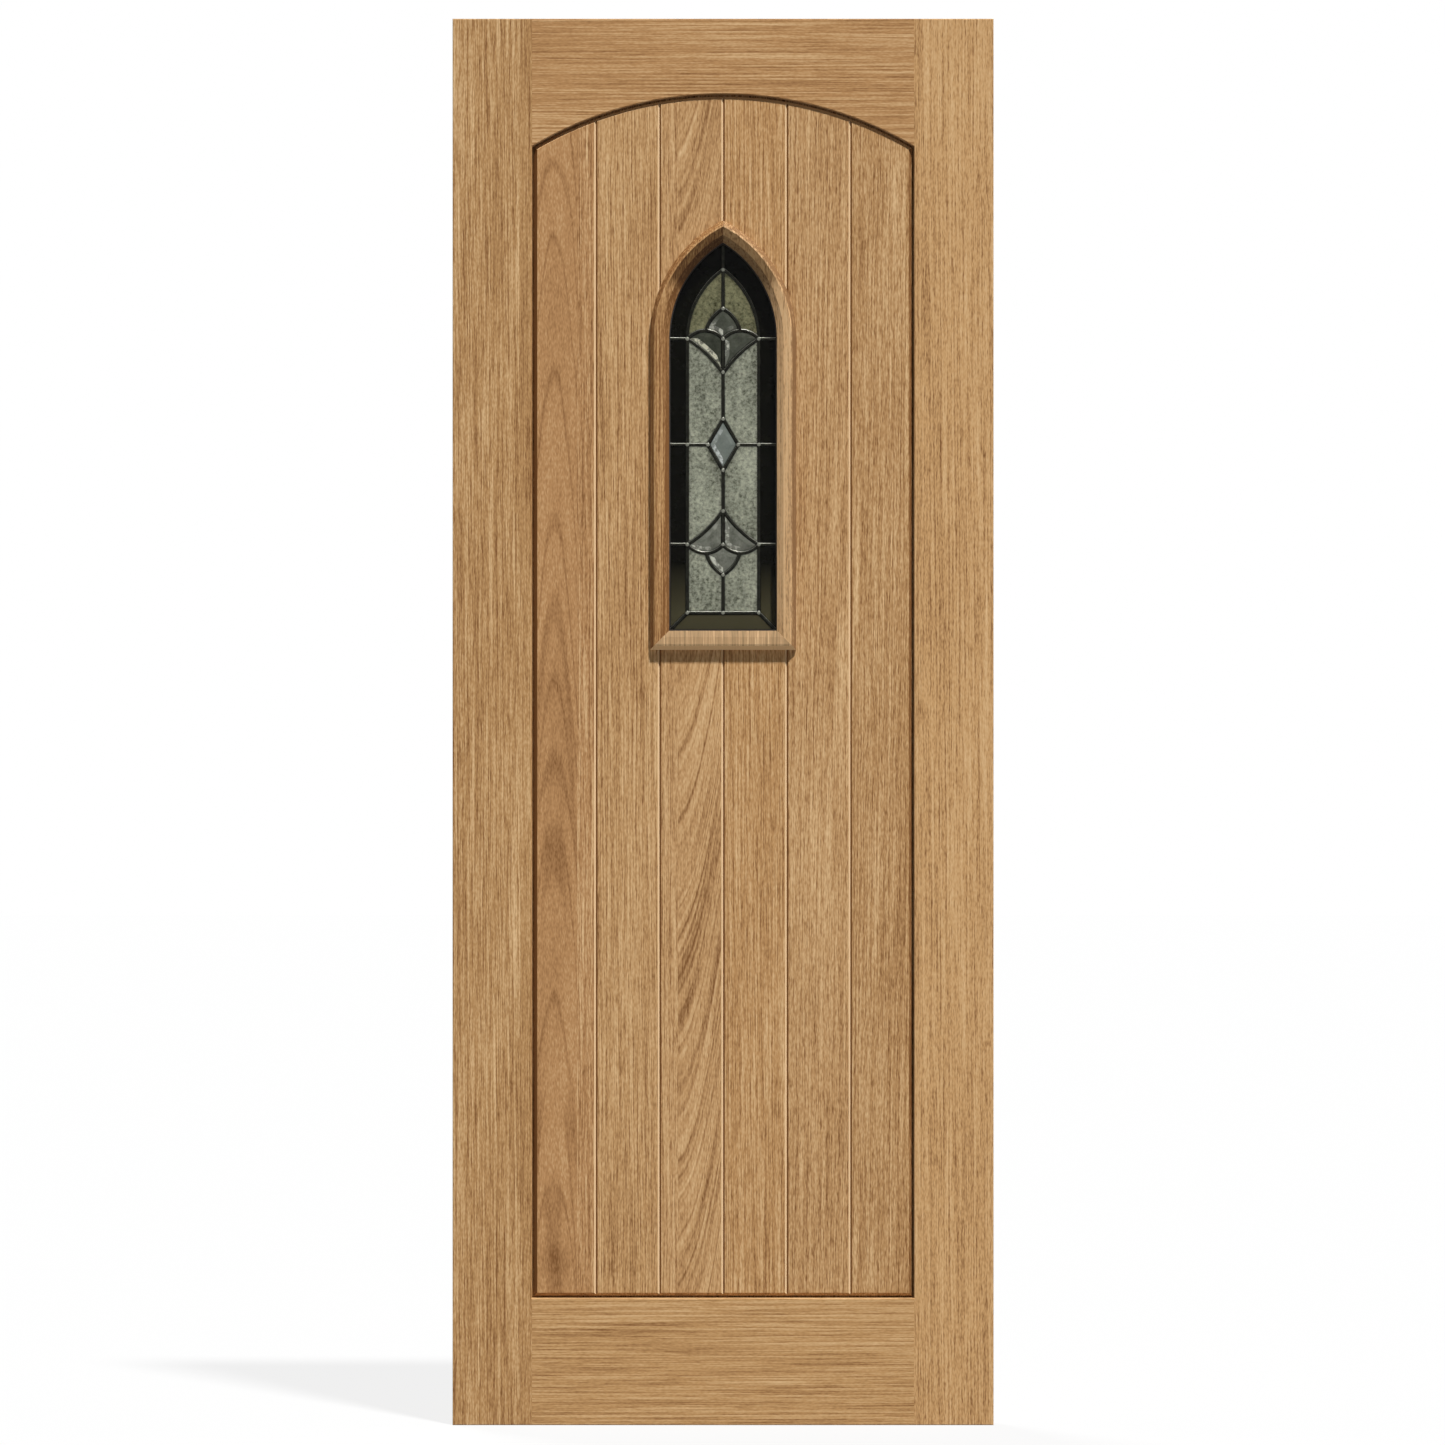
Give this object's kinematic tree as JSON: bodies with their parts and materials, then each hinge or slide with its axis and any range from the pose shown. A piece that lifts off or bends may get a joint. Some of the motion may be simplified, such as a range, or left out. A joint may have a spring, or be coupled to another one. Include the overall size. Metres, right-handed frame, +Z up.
{
  "type": "exterior door leaf",
  "caption": "Framed oak door leaf with an arched tongue-and-groove panel and a pointed leaded light in a raised moulding.",
  "frame": {"origin": "middle of the leaf's bottom edge, halfway through its thickness", "axes": "+X across the leaf to the right seen from the front, +Y through the leaf to the rear, +Z up"},
  "size_m": [0.762, 0.0622, 1.981],
  "materials": {
    "oak_frame": "oak, satin oil, straight grain",
    "oak_boards": "oak, satin oil, mixed grain",
    "oak_moulding": "oak, satin oil, along the length",
    "steel_brads": "plain",
    "clear_pane": "clear float",
    "border_glass": "smooth, dark smoke",
    "field_glass": "obscure, grey green",
    "bevel_glass": "clear, bevelled edge",
    "lead": "lead, dark patina",
    "spacer": "mill",
    "glazing_tape": "black foam tape",
    "sealant": "black",
    "setting_block": "plain"
  },
  "bodies": {
    "root": {"bevel_diamond": "bevel_glass", "bevel_lower_centre": "bevel_glass", "bevel_lower_left": "bevel_glass", "bevel_lower_right": "bevel_glass", "bevel_upper_centre": "bevel_glass", "bevel_upper_left": "bevel_glass", "bevel_upper_right": "bevel_glass", "board_1": "oak_boards", "board_2": "oak_boards", "board_3": "oak_boards", "board_4": "oak_boards", "board_5": "oak_boards", "board_6": "oak_boards", "border_glass_bottom": "border_glass", "border_glass_left_1": "border_glass", "border_glass_left_2": "border_glass", "border_glass_left_3": "border_glass", "border_glass_left_arch": "border_glass", "border_glass_right_1": "border_glass", "border_glass_right_2": "border_glass", "border_glass_right_3": "border_glass", "border_glass_right_arch": "border_glass", "bottom_rail": "oak_frame", "edge_sealant": "sealant", "field_glass_left_1": "field_glass", "field_glass_left_2": "field_glass", "field_glass_left_3": "field_glass", "field_glass_left_top": "field_glass", "field_glass_right_1": "field_glass", "field_glass_right_2": "field_glass", "field_glass_right_3": "field_glass", "field_glass_right_top": "field_glass", "front_glazing_tape": "glazing_tape", "front_moulding_arch_left": "oak_moulding", "front_moulding_arch_right": "oak_moulding", "front_moulding_bottom": "oak_moulding", "front_moulding_side_left": "oak_moulding", "front_moulding_side_right": "oak_moulding", "front_pane": "clear_pane", "front_spacer_bar": "spacer", "lead_cames": "lead", "left_stile": "oak_frame", "moulding_brads": "steel_brads", "rear_glazing_tape": "glazing_tape", "rear_moulding_arch_left": "oak_moulding", "rear_moulding_arch_right": "oak_moulding", "rear_moulding_bottom": "oak_moulding", "rear_moulding_side_left": "oak_moulding", "rear_moulding_side_right": "oak_moulding", "rear_pane": "clear_pane", "rear_spacer_bar": "spacer", "right_stile": "oak_frame", "setting_blocks": "setting_block", "top_rail": "oak_frame"}
  },
  "joints": []
}
